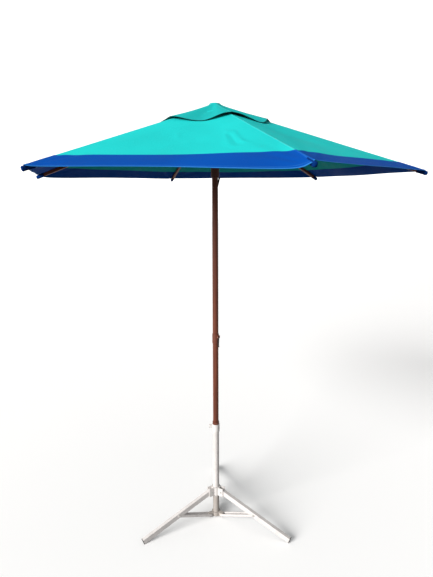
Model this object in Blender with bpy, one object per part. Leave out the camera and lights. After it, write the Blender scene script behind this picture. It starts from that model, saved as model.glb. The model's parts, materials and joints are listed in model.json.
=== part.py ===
"""A beach umbrella on a folding tripod stand, as separate named pieces.

Metres, +Z up. The origin is on the ground under the pole, and the pole stands on the Z axis.
Each rib, stretcher, leg and brace is built in its own upright plane, with x outwards, y across
and z up, and an empty turns that plane to the piece's azimuth about the pole.
"""

import math

import bmesh
import bpy
from mathutils import Matrix
from mathutils.geometry import tessellate_polygon

# ---------------------------------------------------------------- driving sizes

OVERALL_HEIGHT = 2.070  # ground to the top of the vent cap
CANOPY_RADIUS = 0.900  # pole axis to a rib tip
CANOPY_PITCH = math.radians(18.0)  # how far an open rib slopes below level
RIB_COUNT = 6
FIRST_RIB_AZIMUTH = math.radians(-12.5)
RIB_FOLD = math.radians(66.0)  # how far a rib turns down to close

POLE_RADIUS = 0.014
LOWER_POLE_LENGTH = 0.706
POLE_INSERT = 0.250  # how deep the pole stands in the stand's tube

STAND_HEIGHT = 0.527  # ground to the top of the socket collar
LEG_COUNT = 3
FIRST_LEG_AZIMUTH = math.radians(90.0)
LEG_LENGTH = 0.402  # leg hinge to the end of the leg's tube
LEG_PITCH = math.radians(20.0)  # how far an open leg slopes below level
LEG_FOLD = math.radians(60.0)  # how far a leg turns down to close

# ---------------------------------------------------------------- clearances and fits

GAP = 0.0003  # between solids that touch
SLIDE_FIT = 0.0005  # between a tube and what slides in it or on it
SIDE_FIT = 0.0004  # beside a bar that turns between two cheeks
HINGE_CLEARANCE = 0.001  # between a turning end and the floor of its slot
PIN_FIT = 0.0002  # around a pin

# ---------------------------------------------------------------- canopy frame sizes

CROWN_DROP = 0.034  # top of the vent cap down to the rib hinges
HUB_WALL = 0.0055  # wood between the pole and a hinge slot
HUB_BELOW_HINGE = 0.011
HUB_ABOVE_HINGE = 0.009
HUB_RIM = 0.005  # hub material outside the hinge wire
EYE_RADIUS = 0.0055
WIRE_RADIUS = 0.0015
WIRE_HOLE_RADIUS = 0.0024
RIB_WIDTH = 0.010
RIB_DEPTH = 0.014
RIB_LIFT = 0.001  # rib underside above the line through its two pivots
RIB_TAPER = 0.012  # run over which a tab blends into the rib
RIB_TIP_CHAMFER = 0.004
STRETCHER_LENGTH = 0.372  # between its pivots, and from the rib hinge to its pivot
STRETCHER_HALF_DEPTH = 0.0045
STRETCHER_END = 0.004  # past its inner pivot
CHEEK_THICKNESS = 0.0025
CHEEK_END = 0.005  # past the outer pivot
FORK_DEPTH = 0.024
STRETCHER_PIN_RADIUS = 0.0015
RUNNER_WALL = 0.0045
RUNNER_SLEEVE_LENGTH = 0.045
RUNNER_BELOW_HINGE = 0.010
RUNNER_ABOVE_HINGE = 0.008
CROWN_CAP_RADIUS = 0.016

# ---------------------------------------------------------------- fabric sizes

FABRIC_THICKNESS = 0.0012
CANOPY_VENT_RADIUS = 0.130
VENT_CAP_RADIUS = 0.246
VENT_CAP_LIFT = 0.010  # vent cap corner above the canopy ridge
VENT_CAP_CENTRE = 0.003

# ---------------------------------------------------------------- pole joint and catch sizes

SPIGOT_RADIUS = 0.0085
SPIGOT_LENGTH = 0.080
SLEEVE_LENGTH = 0.046
SLEEVE_WALL = 0.0018
SLEEVE_ABOVE_JOINT = 0.023
EAR_THICKNESS = 0.0025
EAR_HEIGHT = 0.016
LEVER_WIDTH = 0.006
LEVER_THICKNESS = 0.005
LEVER_LENGTH = 0.052
LEVER_EYE_RADIUS = 0.004
LEVER_PIN_RADIUS = 0.0015
LEVER_BELOW_SLEEVE_TOP = 0.011
LEVER_AZIMUTH = math.radians(-48.0)
CATCH_WIDTH = 0.003
CATCH_HEIGHT = 0.046
CATCH_REACH = 0.0095  # how far the catch stands out of the pole
CATCH_BLADE = 0.007
CATCH_AZIMUTH = 0.0

# ---------------------------------------------------------------- stand sizes

TUBE_WALL = 0.0015
COLLAR_WALL = 0.006
COLLAR_HEIGHT = 0.044
CLEVIS_THICKNESS = 0.004
CLEVIS_END = 0.011  # ear past the leg hinge
LEG_WIDTH = 0.018
LEG_DEPTH = 0.024
LEG_WALL = 0.0015
LEG_SOLID_END = 0.013  # end wall of the leg's bore, past the hinge
PLUG_FLANGE = 0.003
PLUG_LENGTH = 0.018
BRACE_THICKNESS = 0.0025
BRACE_HALF_DEPTH = 0.006
SPIDER_HINGE_Z = 0.0145
SPIDER_HALF_HEIGHT = 0.010
SPIDER_WALL = 0.006
SPIDER_TONGUE_END = 0.007
STAND_PIN_RADIUS = 0.0025
PIN_HEAD_RADIUS = 0.0045
PIN_HEAD_LENGTH = 0.0016
TUBE_PLUG_FLANGE = 0.003
TUBE_PLUG_LENGTH = 0.012
SOCKET_WALL = 0.0025
SOCKET_LENGTH = 0.040
SOCKET_LIP = 0.003
STOP_RING_WALL = 0.0025
STOP_RING_HEIGHT = 0.013
SCREW_STEM_RADIUS = 0.003
SCREW_KNOB_RADIUS = 0.009
SCREW_KNOB_LENGTH = 0.009
SCREW_BOSS_RADIUS = 0.0075
SCREW_BOSS_LENGTH = 0.006
SCREW_BELOW_TOP = 0.012
SCREW_AZIMUTH = math.radians(180.0)

# ---------------------------------------------------------------- places worked out from the sizes

HUB_CORE_RADIUS = POLE_RADIUS + GAP + HUB_WALL
HINGE_RADIUS = HUB_CORE_RADIUS + EYE_RADIUS + 1.7 * HINGE_CLEARANCE
HUB_RADIUS = HINGE_RADIUS + HUB_RIM
SLOT_WIDTH = RIB_WIDTH + 2.0 * (SIDE_FIT + GAP)
RIB_HINGE_Z = OVERALL_HEIGHT - CROWN_DROP
RIB_LENGTH = (CANOPY_RADIUS - HINGE_RADIUS) / math.cos(CANOPY_PITCH)
RUNNER_HINGE_Z = RIB_HINGE_Z - 2.0 * STRETCHER_LENGTH * math.sin(CANOPY_PITCH)
RUNNER_BOTTOM_Z = RUNNER_HINGE_Z - RUNNER_BELOW_HINGE - RUNNER_SLEEVE_LENGTH
PANEL_DROP = RIB_WIDTH / 2.0 * math.tan(math.pi / RIB_COUNT) * math.tan(CANOPY_PITCH)  # at a rib's side
FABRIC_LIFT = RIB_LIFT + RIB_DEPTH + PANEL_DROP + 2.0 * GAP  # above the line through a rib's pivots

TUBE_BORE_RADIUS = POLE_RADIUS + SLIDE_FIT
TUBE_RADIUS = TUBE_BORE_RADIUS + TUBE_WALL
POLE_BOTTOM_Z = STAND_HEIGHT - POLE_INSERT
POLE_JOINT_Z = POLE_BOTTOM_Z + LOWER_POLE_LENGTH
SLEEVE_BOTTOM_Z = POLE_JOINT_Z + SLEEVE_ABOVE_JOINT - SLEEVE_LENGTH
SLEEVE_RADIUS = POLE_RADIUS + SLIDE_FIT + SLEEVE_WALL

COLLAR_CORE_RADIUS = TUBE_RADIUS + SLIDE_FIT + COLLAR_WALL
LEG_HINGE_RADIUS = COLLAR_CORE_RADIUS + LEG_DEPTH / 2.0 + HINGE_CLEARANCE
LEG_REACH = LEG_LENGTH + PLUG_FLANGE
LEG_HINGE_Z = LEG_REACH * math.sin(LEG_PITCH) + LEG_DEPTH / 2.0 * math.cos(LEG_PITCH)
BRACE_LENGTH = (LEG_HINGE_Z - SPIDER_HINGE_Z) / (2.0 * math.sin(LEG_PITCH))
CHEEK_INNER_FACE = LEG_WIDTH / 2.0 + SIDE_FIT

# ---------------------------------------------------------------- colours: base colour, roughness, metallic

STAINED_WOOD = ((0.20, 0.065, 0.040), 0.45, 0.0)
DARK_WOOD = ((0.12, 0.040, 0.028), 0.50, 0.0)
WHITE_PAINT = ((0.86, 0.85, 0.83), 0.40, 0.0)
DARK_PLASTIC = ((0.05, 0.05, 0.055), 0.50, 0.0)
WHITE_PLASTIC = ((0.82, 0.81, 0.79), 0.50, 0.0)
BROWN_PAINT = ((0.14, 0.050, 0.036), 0.35, 0.0)
BLACK_PAINT = ((0.035, 0.028, 0.027), 0.35, 0.0)
SPRING_STEEL = ((0.10, 0.075, 0.070), 0.35, 1.0)
ZINC = ((0.62, 0.62, 0.60), 0.30, 1.0)
TEAL_FABRIC = ((0.03, 0.62, 0.60), 0.85, 0.0)
TEAL_CAP_FABRIC = ((0.02, 0.46, 0.45), 0.85, 0.0)


# ---------------------------------------------------------------- modelling helpers


def clear_scene():
    for thing in list(bpy.data.objects):
        bpy.data.objects.remove(thing, do_unlink=True)


def add_object(name, mesh, look, parent=None, place=(0.0, 0.0, 0.0), turn=(0.0, 0.0, 0.0)):
    """Puts a bmesh in the scene as an object with a material of its own."""
    bmesh.ops.recalc_face_normals(mesh, faces=mesh.faces)
    data = bpy.data.meshes.new(name)
    mesh.to_mesh(data)
    mesh.free()
    piece = bpy.data.objects.new(name, data)
    piece.location = place
    piece.rotation_euler = turn
    piece.parent = parent
    bpy.context.scene.collection.objects.link(piece)
    if look is not None:
        data.materials.append(make_material(name, look))
    return piece


def make_material(name, look):
    colour, roughness, metallic = look
    material = bpy.data.materials.new(name)
    material.use_nodes = True
    shader = material.node_tree.nodes["Principled BSDF"]
    shader.inputs["Base Color"].default_value = (*colour, 1.0)
    shader.inputs["Roughness"].default_value = roughness
    shader.inputs["Metallic"].default_value = metallic
    return material


def azimuth_empty(name, azimuth):
    """An empty on the pole's axis, turned so that its x axis points along the azimuth."""
    empty = bpy.data.objects.new(name, None)
    empty.rotation_euler = (0.0, 0.0, azimuth)
    bpy.context.scene.collection.objects.link(empty)
    return empty


def combine(target, other, operation):
    """Joins another solid to the target, or cuts it away, and hides the other."""
    other.hide_render = True
    other.display_type = "WIRE"
    boolean = target.modifiers.new(other.name, "BOOLEAN")
    boolean.operation = operation
    boolean.solver = "EXACT"
    boolean.object = other


def circle(radius, count=24, centre=(0.0, 0.0), start=0.0, sweep=2.0 * math.pi):
    """Points on a circle, or on an arc where a sweep is given."""
    whole = sweep == 2.0 * math.pi
    steps = count if whole else count - 1
    return [
        (
            centre[0] + radius * math.cos(start + sweep * i / steps),
            centre[1] + radius * math.sin(start + sweep * i / steps),
        )
        for i in range(count)
    ]


def plate(outline, holes, low, high, facing="z"):
    """A flat solid of one outline with holes, from low to high along the axis that it faces.

    Points are (x, y) for a plate that faces z, and (x, z) for one that faces y.
    """

    def point(pair, level):
        return (pair[0], pair[1], level) if facing == "z" else (pair[0], level, pair[1])

    mesh = bmesh.new()
    loops = [outline, *holes]
    floors = [[mesh.verts.new(point(p, low)) for p in loop] for loop in loops]
    roofs = [[mesh.verts.new(point(p, high)) for p in loop] for loop in loops]
    flat_floor = [v for loop in floors for v in loop]
    flat_roof = [v for loop in roofs for v in loop]
    for a, b, c in tessellate_polygon([[(*p, 0.0) for p in loop] for loop in loops]):
        mesh.faces.new((flat_floor[a], flat_floor[b], flat_floor[c]))
        mesh.faces.new((flat_roof[c], flat_roof[b], flat_roof[a]))
    for floor, roof in zip(floors, roofs):
        for i in range(len(floor)):
            j = (i + 1) % len(floor)
            mesh.faces.new((floor[i], floor[j], roof[j], roof[i]))
    return mesh


def lathe(profile, segments=48):
    """A solid turned about z from a closed profile of (radius, height) points.

    A point of radius 0 closes the solid on its axis.
    """
    mesh = bmesh.new()
    rings = []
    for radius, height in profile:
        if radius == 0.0:
            rings.append([mesh.verts.new((0.0, 0.0, height))] * segments)
        else:
            ring = [(x, y, height) for x, y in circle(radius, segments)]
            rings.append([mesh.verts.new(p) for p in ring])
    for i, ring in enumerate(rings):
        following = rings[(i + 1) % len(rings)]
        for k in range(segments):
            j = (k + 1) % segments
            corners = list(dict.fromkeys((ring[k], ring[j], following[j], following[k])))
            if len(corners) > 2:
                mesh.faces.new(corners)
    return mesh


def tube_profile(inner, outer, low, high):
    return [(inner, low), (outer, low), (outer, high), (inner, high)]


def rod(radius, low, high, axis="z", segments=24):
    """A round bar from low to high along an axis."""
    mesh = lathe([(0.0, low), (radius, low), (radius, high), (0.0, high)], segments)
    turns = {
        "x": Matrix.Rotation(math.radians(90.0), 4, "Y"),
        "y": Matrix.Rotation(math.radians(-90.0), 4, "X"),
        "z": Matrix.Identity(4),
    }
    mesh.transform(turns[axis])
    return mesh


def box(low, high):
    mesh = bmesh.new()
    bmesh.ops.create_cube(mesh, size=1.0)
    for vertex in mesh.verts:
        vertex.co = [a + (c + 0.5) * (b - a) for a, b, c in zip(low, high, vertex.co)]
    return mesh


def merge(*meshes):
    """One bmesh that holds several."""
    whole = bmesh.new()
    for mesh in meshes:
        data = bpy.data.meshes.new("scratch")
        mesh.to_mesh(data)
        mesh.free()
        whole.from_mesh(data)
        bpy.data.meshes.remove(data)
    return whole


def around(mesh, count):
    """Copies of a bmesh at even turns about z."""
    copies = [mesh.copy() for _ in range(count)]
    mesh.free()
    for k, copy in enumerate(copies):
        copy.transform(Matrix.Rotation(2.0 * math.pi * k / count, 4, "Z"))
    return merge(*copies)


# ---------------------------------------------------------------- canopy frame


def rib_outline():
    """The side view of a rib: an eye, a straight bar above its pivots, and a tab for the stretcher."""
    top = RIB_LIFT + RIB_DEPTH
    eye = circle(EYE_RADIUS, 9, start=math.pi / 2.0, sweep=math.pi)
    tab = circle(
        EYE_RADIUS, 7, (STRETCHER_LENGTH, 0.0), start=math.radians(210.0), sweep=math.radians(120.0)
    )
    return [
        *eye,
        (RIB_TAPER, RIB_LIFT),
        (STRETCHER_LENGTH - RIB_TAPER, RIB_LIFT),
        *tab,
        (STRETCHER_LENGTH + RIB_TAPER, RIB_LIFT),
        (RIB_LENGTH, RIB_LIFT),
        (RIB_LENGTH, top - RIB_TIP_CHAMFER),
        (RIB_LENGTH - RIB_TIP_CHAMFER, top),
        (RIB_TAPER, top),
    ]


def build_rib(number, plane):
    pivot_hole = circle(STRETCHER_PIN_RADIUS + 2.0 * PIN_FIT, 12, (STRETCHER_LENGTH, 0.0))
    mesh = plate(
        rib_outline(),
        [circle(WIRE_HOLE_RADIUS, 16), pivot_hole],
        -RIB_WIDTH / 2.0,
        RIB_WIDTH / 2.0,
        facing="y",
    )
    add_object(
        f"rib_{number}",
        mesh,
        STAINED_WOOD,
        plane,
        place=(HINGE_RADIUS, 0.0, RIB_HINGE_Z),
        turn=(0.0, CANOPY_PITCH, 0.0),
    )


def build_stretcher(number, plane):
    """A bar whose forked outer end carries the pin that goes through the rib's tab."""
    half = RIB_WIDTH / 2.0
    inside = half + SIDE_FIT
    outside = inside + CHEEK_THICKNESS
    shoulder = FORK_DEPTH + CHEEK_THICKNESS
    end = STRETCHER_LENGTH + STRETCHER_END
    outline = [
        (-CHEEK_END, outside),
        (-CHEEK_END, inside),
        (FORK_DEPTH, inside),
        (FORK_DEPTH, -inside),
        (-CHEEK_END, -inside),
        (-CHEEK_END, -outside),
        (shoulder, -outside),
        (shoulder + RIB_TAPER, -half),
        (end, -half),
        (end, half),
        (shoulder + RIB_TAPER, half),
        (shoulder, outside),
    ]
    placed = {
        "parent": plane,
        "place": (
            HINGE_RADIUS + STRETCHER_LENGTH * math.cos(CANOPY_PITCH),
            0.0,
            RIB_HINGE_Z - STRETCHER_LENGTH * math.sin(CANOPY_PITCH),
        ),
        "turn": (0.0, math.pi - CANOPY_PITCH, 0.0),
    }
    bar = plate(outline, [], -STRETCHER_HALF_DEPTH, STRETCHER_HALF_DEPTH)
    stretcher = add_object(f"stretcher_{number}", bar, STAINED_WOOD, **placed)
    reach = outside + GAP
    pin = add_object(
        f"stretcher_pin_{number}", rod(STRETCHER_PIN_RADIUS, -reach, reach, "y", 12), None, **placed
    )
    combine(stretcher, pin, "UNION")


def slot_cutter(low, high):
    """Six radial slots, open outwards, one for each rib."""
    slot = box(
        (HUB_CORE_RADIUS, -SLOT_WIDTH / 2.0, low),
        (HUB_RADIUS + HUB_RIM, SLOT_WIDTH / 2.0, high),
    )
    return around(slot, RIB_COUNT)


def build_hub():
    """The hub on top of the pole, slotted for the ribs and grooved for their hinge wire."""
    low = RIB_HINGE_Z - HUB_BELOW_HINGE
    high = RIB_HINGE_Z + HUB_ABOVE_HINGE
    hub = add_object(
        "rib_hub", lathe(tube_profile(POLE_RADIUS + GAP, HUB_RADIUS, low, high)), DARK_WOOD
    )
    slots = add_object("hub_slots", slot_cutter(low - GAP, high + GAP), None)
    slots.rotation_euler = (0.0, 0.0, FIRST_RIB_AZIMUTH)
    combine(hub, slots, "DIFFERENCE")
    half = WIRE_RADIUS + GAP
    groove = tube_profile(
        HINGE_RADIUS - half, HINGE_RADIUS + half, RIB_HINGE_Z - half, high + GAP
    )
    combine(hub, add_object("wire_groove", lathe(groove, 72), None), "DIFFERENCE")


def build_hinge_wire():
    """The wire ring that all six ribs hinge on."""
    section = circle(WIRE_RADIUS, 8, (HINGE_RADIUS, RIB_HINGE_Z))
    add_object("hinge_wire", lathe(section, 72), ZINC)


def build_crown_cap():
    """The flat cap on the pole's top that carries the middle of the vent cap."""
    low = RIB_HINGE_Z + HUB_ABOVE_HINGE + GAP
    high = OVERALL_HEIGHT - FABRIC_THICKNESS - GAP
    edge = CROWN_CAP_RADIUS / 4.0
    profile = [
        (0.0, low),
        (POLE_RADIUS, low),
        (CROWN_CAP_RADIUS, low + edge),
        (CROWN_CAP_RADIUS, high - edge),
        (CROWN_CAP_RADIUS - edge, high),
        (0.0, high),
    ]
    add_object("crown_cap", lathe(profile), DARK_PLASTIC)


def build_runner():
    """The slider on the pole: a sleeve under a flange that is slotted for the stretchers."""
    bore = POLE_RADIUS + SLIDE_FIT
    flange_low = RUNNER_HINGE_Z - RUNNER_BELOW_HINGE
    flange_high = RUNNER_HINGE_Z + RUNNER_ABOVE_HINGE
    sleeve = bore + RUNNER_WALL
    profile = [
        (bore, RUNNER_BOTTOM_Z),
        (sleeve, RUNNER_BOTTOM_Z),
        (sleeve, flange_low),
        (HUB_RADIUS, flange_low),
        (HUB_RADIUS, flange_high),
        (bore, flange_high),
    ]
    runner = add_object("runner", lathe(profile), DARK_WOOD)
    slots = add_object("runner_slots", slot_cutter(flange_low - GAP, flange_high + GAP), None)
    slots.rotation_euler = (0.0, 0.0, FIRST_RIB_AZIMUTH)
    combine(runner, slots, "DIFFERENCE")


def build_catch():
    """The spring catch in the pole: its top end holds the runner up, and its foot is its pivot."""
    plane = azimuth_empty("catch_plane", CATCH_AZIMUTH)
    top = RUNNER_BOTTOM_Z - GAP
    foot = top - CATCH_HEIGHT
    pivot_radius = POLE_RADIUS - CATCH_BLADE / 2.0
    outer = POLE_RADIUS + CATCH_REACH - pivot_radius
    outline = [
        (-CATCH_BLADE / 2.0, 0.0),
        (CATCH_BLADE / 4.0, -CATCH_BLADE / 4.0),
        (CATCH_BLADE / 2.0, CATCH_BLADE / 2.0),
        (outer, CATCH_HEIGHT - CATCH_BLADE / 2.0),
        (outer, CATCH_HEIGHT),
        (outer - CATCH_BLADE, CATCH_HEIGHT),
    ]
    half = CATCH_WIDTH / 2.0
    add_object(
        "runner_catch",
        plate(outline, [], -half, half, facing="y"),
        SPRING_STEEL,
        plane,
        place=(pivot_radius, 0.0, foot),
    )
    floor = pivot_radius - CATCH_BLADE / 2.0 - 2.0 * HINGE_CLEARANCE
    low = (floor, -half - SIDE_FIT, foot - CATCH_BLADE)
    high = (POLE_RADIUS + CATCH_REACH, half + SIDE_FIT, top + CATCH_BLADE)
    return add_object("catch_slot", box(low, high), None, plane)


# ---------------------------------------------------------------- fabric


def ridge_height(radius, lift):
    """The height above ground of a line along a rib, a lift above its pivots."""
    return RIB_HINGE_Z - (radius - HINGE_RADIUS) * math.tan(CANOPY_PITCH) + lift / math.cos(CANOPY_PITCH)


def petal(ridge):
    """A folded sheet over one rib, reaching halfway to the next rib on each side.

    ridge is the (radius, height) of each point along its top, from the middle outwards.
    """
    share = math.pi / RIB_COUNT
    mesh = bmesh.new()
    layers = []
    for drop in (0.0, FABRIC_THICKNESS):
        rows = []
        for radius, height in ridge:
            chord = radius * math.cos(share)
            side = chord * math.sin(share) - GAP
            along = chord * math.cos(share)
            places = ((along, -side), (radius, 0.0), (along, side))
            rows.append([mesh.verts.new((x, y, height - drop)) for x, y in places])
        layers.append(rows)
    top, bottom = layers
    last = len(ridge) - 1
    for i in range(last):
        for k in range(2):
            mesh.faces.new((top[i][k], top[i][k + 1], top[i + 1][k + 1], top[i + 1][k]))
            mesh.faces.new((bottom[i + 1][k], bottom[i + 1][k + 1], bottom[i][k + 1], bottom[i][k]))
    left = [(i, 0) for i in range(last, 0, -1)]
    right = [(i, 2) for i in range(last)]
    rim = [*left, (0, 0), (0, 1), *right, (last, 2), (last, 1)]
    for k, (i, a) in enumerate(rim):
        j, b = rim[(k + 1) % len(rim)]
        mesh.faces.new((top[j][b], top[i][a], bottom[i][a], bottom[j][b]))
    return mesh


def build_petals(number, plane):
    """One rib's share of the canopy and of the vent cap over it."""
    lift = FABRIC_LIFT + FABRIC_THICKNESS
    canopy = petal(
        [(radius, ridge_height(radius, lift)) for radius in (CANOPY_VENT_RADIUS, CANOPY_RADIUS)]
    )
    hinge = (HINGE_RADIUS, 0.0, RIB_HINGE_Z)
    shift = Matrix.Translation(hinge).inverted()
    canopy.transform(shift)
    add_object(f"canopy_panel_{number}", canopy, TEAL_FABRIC, plane, place=hinge)
    corner = ridge_height(VENT_CAP_RADIUS, lift) + VENT_CAP_LIFT
    flat = (CROWN_CAP_RADIUS + FABRIC_THICKNESS) / math.cos(math.pi / RIB_COUNT)
    cap = petal(
        [(VENT_CAP_CENTRE, OVERALL_HEIGHT), (flat, OVERALL_HEIGHT), (VENT_CAP_RADIUS, corner)]
    )
    cap.transform(shift)
    add_object(f"vent_cap_panel_{number}", cap, TEAL_CAP_FABRIC, plane, place=hinge)


# ---------------------------------------------------------------- pole


def build_lower_pole():
    """The lower pole, bored from above for the upper pole's spigot."""
    bore = SPIGOT_RADIUS + SLIDE_FIT
    floor = POLE_JOINT_Z - SPIGOT_LENGTH - HINGE_CLEARANCE
    profile = [
        (0.0, POLE_BOTTOM_Z),
        (POLE_RADIUS, POLE_BOTTOM_Z),
        (POLE_RADIUS, POLE_JOINT_Z - GAP),
        (bore, POLE_JOINT_Z - GAP),
        (bore, floor),
        (0.0, floor),
    ]
    add_object("lower_pole", lathe(profile), STAINED_WOOD)


def build_upper_pole(catch_slot):
    """The upper pole, from its spigot in the lower pole up to the hub."""
    top = RIB_HINGE_Z + HUB_ABOVE_HINGE
    profile = [
        (0.0, POLE_JOINT_Z - SPIGOT_LENGTH),
        (SPIGOT_RADIUS, POLE_JOINT_Z - SPIGOT_LENGTH),
        (SPIGOT_RADIUS, POLE_JOINT_Z),
        (POLE_RADIUS, POLE_JOINT_Z),
        (POLE_RADIUS, top),
        (0.0, top),
    ]
    pole = add_object("upper_pole", lathe(profile), STAINED_WOOD)
    combine(pole, catch_slot, "DIFFERENCE")


def build_stop_ring():
    """The ring on the lower pole that rests on the stand's socket."""
    low = STAND_HEIGHT + GAP
    ring = tube_profile(
        POLE_RADIUS + GAP, POLE_RADIUS + GAP + STOP_RING_WALL, low, low + STOP_RING_HEIGHT
    )
    add_object("stop_ring", lathe(ring), BROWN_PAINT)


def lever_hinge():
    """Radius and height of the clamp lever's hinge."""
    radius = SLEEVE_RADIUS + GAP + LEVER_EYE_RADIUS
    height = SLEEVE_BOTTOM_Z + SLEEVE_LENGTH - LEVER_BELOW_SLEEVE_TOP
    return radius, height


def build_joint_sleeve():
    """The clamp sleeve around the pole's joint, with two ears for its lever."""
    plane = azimuth_empty("sleeve_plane", LEVER_AZIMUTH)
    profile = tube_profile(
        POLE_RADIUS + SLIDE_FIT, SLEEVE_RADIUS, SLEEVE_BOTTOM_Z, SLEEVE_BOTTOM_Z + SLEEVE_LENGTH
    )
    sleeve = add_object("joint_sleeve", lathe(profile), BROWN_PAINT, plane)
    radius, height = lever_hinge()
    inside = LEVER_WIDTH / 2.0 + SIDE_FIT
    start = SLEEVE_RADIUS - SLEEVE_WALL / 2.0
    low = height - EAR_HEIGHT / 2.0
    high = height + EAR_HEIGHT / 2.0
    end = radius + LEVER_EYE_RADIUS
    chamfer = LEVER_EYE_RADIUS / 2.0
    outline = [
        (start, low),
        (end, low + chamfer),
        (end, high - chamfer),
        (start, high),
    ]
    hole = [circle(LEVER_PIN_RADIUS + PIN_FIT, 12, (radius, height))]
    for side, name in ((-1.0, "left"), (1.0, "right")):
        faces = sorted((side * inside, side * (inside + EAR_THICKNESS)))
        ear = plate(outline, hole, *faces, facing="y")
        combine(sleeve, add_object(f"sleeve_ear_{name}", ear, None, plane), "UNION")
    build_lever(plane, radius, height, inside + EAR_THICKNESS)


def build_lever(plane, radius, height, ears_outside):
    """The clamp lever, which hangs down along the pole from its pin between the ears."""
    eye = circle(LEVER_EYE_RADIUS, 12, start=math.radians(-30.0), sweep=math.radians(240.0))
    inner = -LEVER_EYE_RADIUS
    outer = inner + LEVER_THICKNESS
    tip = LEVER_THICKNESS / 2.0
    outline = [
        *eye,
        (inner, -LEVER_LENGTH),
        (outer + tip, -LEVER_LENGTH),
        (outer + tip, tip - LEVER_LENGTH),
        (outer, 3.0 * tip - LEVER_LENGTH),
    ]
    half = LEVER_WIDTH / 2.0
    hole = [circle(LEVER_PIN_RADIUS + PIN_FIT, 12)]
    place = (radius, 0.0, height)
    lever = plate(outline, hole, -half, half, facing="y")
    add_object("clamp_lever", lever, BLACK_PAINT, plane, place=place)
    reach = ears_outside + GAP
    add_object("lever_pin", rod(LEVER_PIN_RADIUS, -reach, reach, "y", 12), ZINC, plane, place=place)


# ---------------------------------------------------------------- stand


def screw_height():
    return STAND_HEIGHT - SCREW_BELOW_TOP


def build_base_tube(plane):
    """The stand's tube, with a hole for the socket screw."""
    profile = tube_profile(
        TUBE_BORE_RADIUS, TUBE_RADIUS, TUBE_PLUG_FLANGE + GAP, STAND_HEIGHT - SOCKET_LIP - GAP
    )
    tube = add_object("base_tube", lathe(profile), WHITE_PAINT, plane)
    hole = add_object(
        "tube_screw_hole",
        rod(SCREW_STEM_RADIUS + PIN_FIT, 0.0, 2.0 * TUBE_RADIUS, "x"),
        None,
        plane,
        place=(0.0, 0.0, screw_height()),
    )
    combine(tube, hole, "DIFFERENCE")


def build_tube_plug():
    """The plug that closes the bottom of the stand's tube."""
    fit = TUBE_BORE_RADIUS - GAP
    profile = [
        (0.0, 0.0),
        (TUBE_RADIUS, 0.0),
        (TUBE_RADIUS, TUBE_PLUG_FLANGE),
        (fit, TUBE_PLUG_FLANGE),
        (fit, TUBE_PLUG_FLANGE + TUBE_PLUG_LENGTH),
        (0.0, TUBE_PLUG_FLANGE + TUBE_PLUG_LENGTH),
    ]
    add_object("tube_plug", lathe(profile), DARK_PLASTIC)


def build_socket(plane):
    """The collar on top of the tube that takes the pole, and the screw that clamps it."""
    fit = TUBE_RADIUS + GAP
    outer = fit + SOCKET_WALL
    low = STAND_HEIGHT - SOCKET_LENGTH
    profile = [
        (fit, low),
        (outer, low),
        (outer, STAND_HEIGHT),
        (TUBE_BORE_RADIUS, STAND_HEIGHT),
        (TUBE_BORE_RADIUS, STAND_HEIGHT - SOCKET_LIP),
        (fit, STAND_HEIGHT - SOCKET_LIP),
    ]
    collar = add_object("socket_collar", lathe(profile), WHITE_PLASTIC, plane)
    place = (0.0, 0.0, screw_height())
    boss_end = outer + SCREW_BOSS_LENGTH
    boss = rod(SCREW_BOSS_RADIUS, outer - SOCKET_WALL / 2.0, boss_end, "x")
    combine(collar, add_object("screw_boss", boss, None, plane, place=place), "UNION")
    hole = rod(SCREW_STEM_RADIUS + PIN_FIT, 0.0, boss_end + GAP, "x")
    combine(collar, add_object("boss_hole", hole, None, plane, place=place), "DIFFERENCE")
    knob_start = boss_end + HINGE_CLEARANCE
    knob_end = knob_start + SCREW_KNOB_LENGTH
    profile = [
        (0.0, POLE_RADIUS + GAP),
        (SCREW_STEM_RADIUS, POLE_RADIUS + GAP),
        (SCREW_STEM_RADIUS, knob_start),
        (SCREW_KNOB_RADIUS, knob_start),
        (SCREW_KNOB_RADIUS, knob_end),
        (0.0, knob_end),
    ]
    screw = lathe(profile, 24)
    screw.transform(Matrix.Rotation(math.radians(90.0), 4, "Y"))
    add_object("socket_screw", screw, WHITE_PLASTIC, plane, place=place)


def clevis_sector(core, inside, outside, end):
    """A third of the leg collar's plan: two ears, and an arc to the next pair."""
    half_arc = math.asin(outside / core)
    rest = 2.0 * math.pi / LEG_COUNT - 2.0 * half_arc
    arc = circle(core, 9, start=half_arc, sweep=rest)
    return [
        (end, -outside),
        (end, -inside),
        (core, -inside),
        (core, inside),
        (end, inside),
        (end, outside),
        *arc,
    ]


def turned(points, angle):
    cosine, sine = math.cos(angle), math.sin(angle)
    return [(x * cosine - y * sine, x * sine + y * cosine) for x, y in points]


def star_outline(sector):
    """A closed outline of equal sectors, one for each leg."""
    outline = []
    for k in range(LEG_COUNT):
        azimuth = FIRST_LEG_AZIMUTH + 2.0 * math.pi * k / LEG_COUNT
        outline += turned(sector, azimuth)
    return outline


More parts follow.
